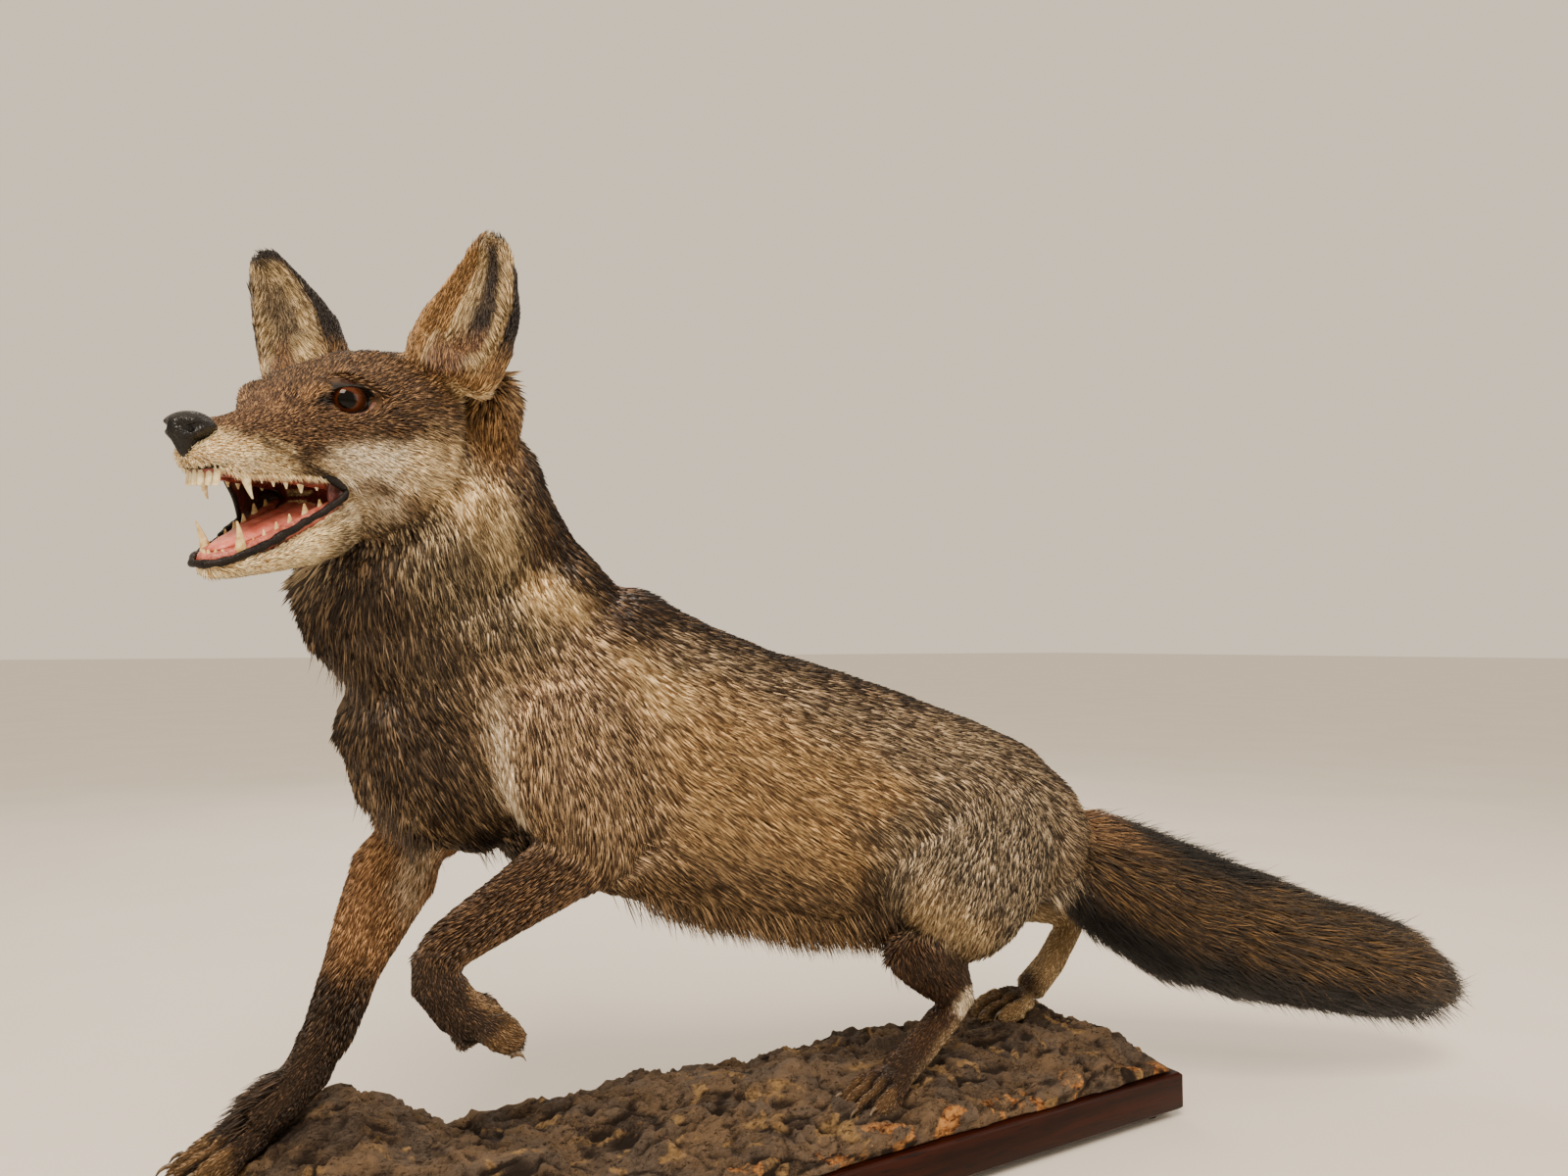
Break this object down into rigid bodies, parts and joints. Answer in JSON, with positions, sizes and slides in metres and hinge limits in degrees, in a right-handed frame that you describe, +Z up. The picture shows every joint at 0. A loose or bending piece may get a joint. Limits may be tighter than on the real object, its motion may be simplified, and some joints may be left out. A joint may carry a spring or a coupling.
{
  "type": "taxidermy red fox on a plinth",
  "caption": "Life-size mounted red fox stalking with open jaws, one foreleg raised, on cork bark over a low varnished wooden plinth.",
  "frame": {"origin": "middle of the bounding box's underside, on the surface that the plinth's feet stand on", "axes": "+X along the plinth from the fox's head end toward its tail, +Y toward the fox's right side, +Z up"},
  "size_m": [1.1476, 0.2688, 0.6429],
  "materials": {
    "mahogany": "dark red-brown, satin varnish",
    "foot_wood": "dark turned feet, matte",
    "cork_bark": "rough grey-brown cork bark with orange-tan broken edges",
    "body_fur": "dense coat, dark along the back, golden buff on the flanks",
    "face_fur": "short coat, brown brow and muzzle with cream cheeks",
    "limb_fur": "short dark brown coat",
    "tail_fur": "long brown hair with dark tips",
    "ear_fur": "short orange-brown coat, cream hair inside, dark rim",
    "glass_eye": "amber-brown glass eye with a dark pupil",
    "nose_pad": "black, semi-gloss",
    "teeth_and_gum": "ivory teeth in pink gum",
    "tongue": "salmon pink, semi-gloss",
    "claw_horn": "pale horn"
  },
  "bodies": {
    "root": {"head": "face_fur", "nose": "nose_pad", "eye_left": "glass_eye", "ear_left": "ear_fur", "eye_right": "glass_eye", "ear_right": "ear_fur", "upper_gum_and_teeth": "teeth_and_gum", "lower_jaw": "face_fur", "lower_gum_and_teeth": "teeth_and_gum", "tongue": "tongue", "plinth_board": "mahogany", "plinth_foot_1": "foot_wood", "plinth_foot_2": "foot_wood", "plinth_foot_3": "foot_wood", "plinth_foot_4": "foot_wood", "neck": "body_fur", "chest": "body_fur", "loin": "body_fur", "rump": "body_fur", "upper_arm_left": "body_fur", "forearm_left": "limb_fur", "paw_left": "limb_fur", "claw_fore_left_1": "claw_horn", "claw_fore_left_2": "claw_horn", "claw_fore_left_3": "claw_horn", "claw_fore_left_4": "claw_horn", "upper_arm_right": "body_fur", "forearm_right": "limb_fur", "paw_right": "limb_fur", "claw_fore_right_1": "claw_horn", "claw_fore_right_2": "claw_horn", "claw_fore_right_3": "claw_horn", "claw_fore_right_4": "claw_horn", "thigh_left": "body_fur", "shank_left": "limb_fur", "foot_left": "limb_fur", "claw_hind_left_1": "claw_horn", "claw_hind_left_2": "claw_horn", "claw_hind_left_3": "claw_horn", "claw_hind_left_4": "claw_horn", "thigh_right": "body_fur", "shank_right": "limb_fur", "foot_right": "limb_fur", "claw_hind_right_1": "claw_horn", "claw_hind_right_2": "claw_horn", "claw_hind_right_3": "claw_horn", "claw_hind_right_4": "claw_horn", "tail_base": "tail_fur", "tail_middle": "tail_fur", "tail_tip": "tail_fur", "bark": "cork_bark"}
  },
  "joints": []
}
